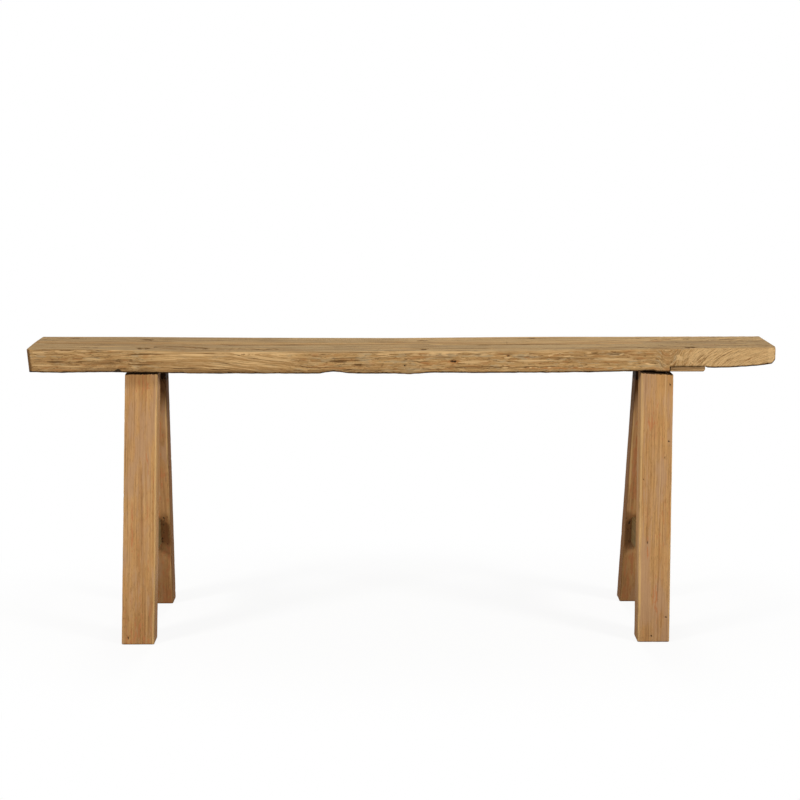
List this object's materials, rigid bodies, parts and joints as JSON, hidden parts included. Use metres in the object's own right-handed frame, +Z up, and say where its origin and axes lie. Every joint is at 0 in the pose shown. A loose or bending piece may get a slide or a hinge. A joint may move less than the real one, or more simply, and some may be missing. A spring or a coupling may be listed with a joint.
{
  "type": "noodle bench",
  "caption": "Long narrow backless bench of reclaimed wood: a thick worn plank seat on splayed squared legs, with a low stretcher between the legs at each end.",
  "frame": {"origin": "On the floor, under the middle of the bench: the middle of the bottom of its bounding box.", "axes": "+X along the bench to the right, +Y from its front to its back, +Z up."},
  "size_m": [1.3, 0.289, 0.511],
  "materials": {
    "seat_wood": "weathered, waxed, open grain",
    "leg_wood": "planed, worn arrises, waxed",
    "stretcher_wood": "planed, dark with age",
    "strip_wood": "sawn, worn",
    "wedge_wood": "split, bare",
    "peg_wood": "whittled, bare",
    "nail_iron": "forged, rusted"
  },
  "bodies": {
    "root": {"seat_plank": "seat_wood", "leg_front_left": "leg_wood", "leg_front_right": "leg_wood", "leg_back_left": "leg_wood", "leg_back_right": "leg_wood", "stretcher_left": "stretcher_wood", "stretcher_right": "stretcher_wood", "packing_strip": "strip_wood", "tenon_wedge_front_left": "wedge_wood", "tenon_wedge_front_right": "wedge_wood", "tenon_wedge_back_left": "wedge_wood", "tenon_wedge_back_right": "wedge_wood", "peg_front_left": "peg_wood", "peg_front_right": "peg_wood", "peg_back_left": "peg_wood", "peg_back_right": "peg_wood", "strip_nails": "nail_iron"}
  },
  "joints": []
}
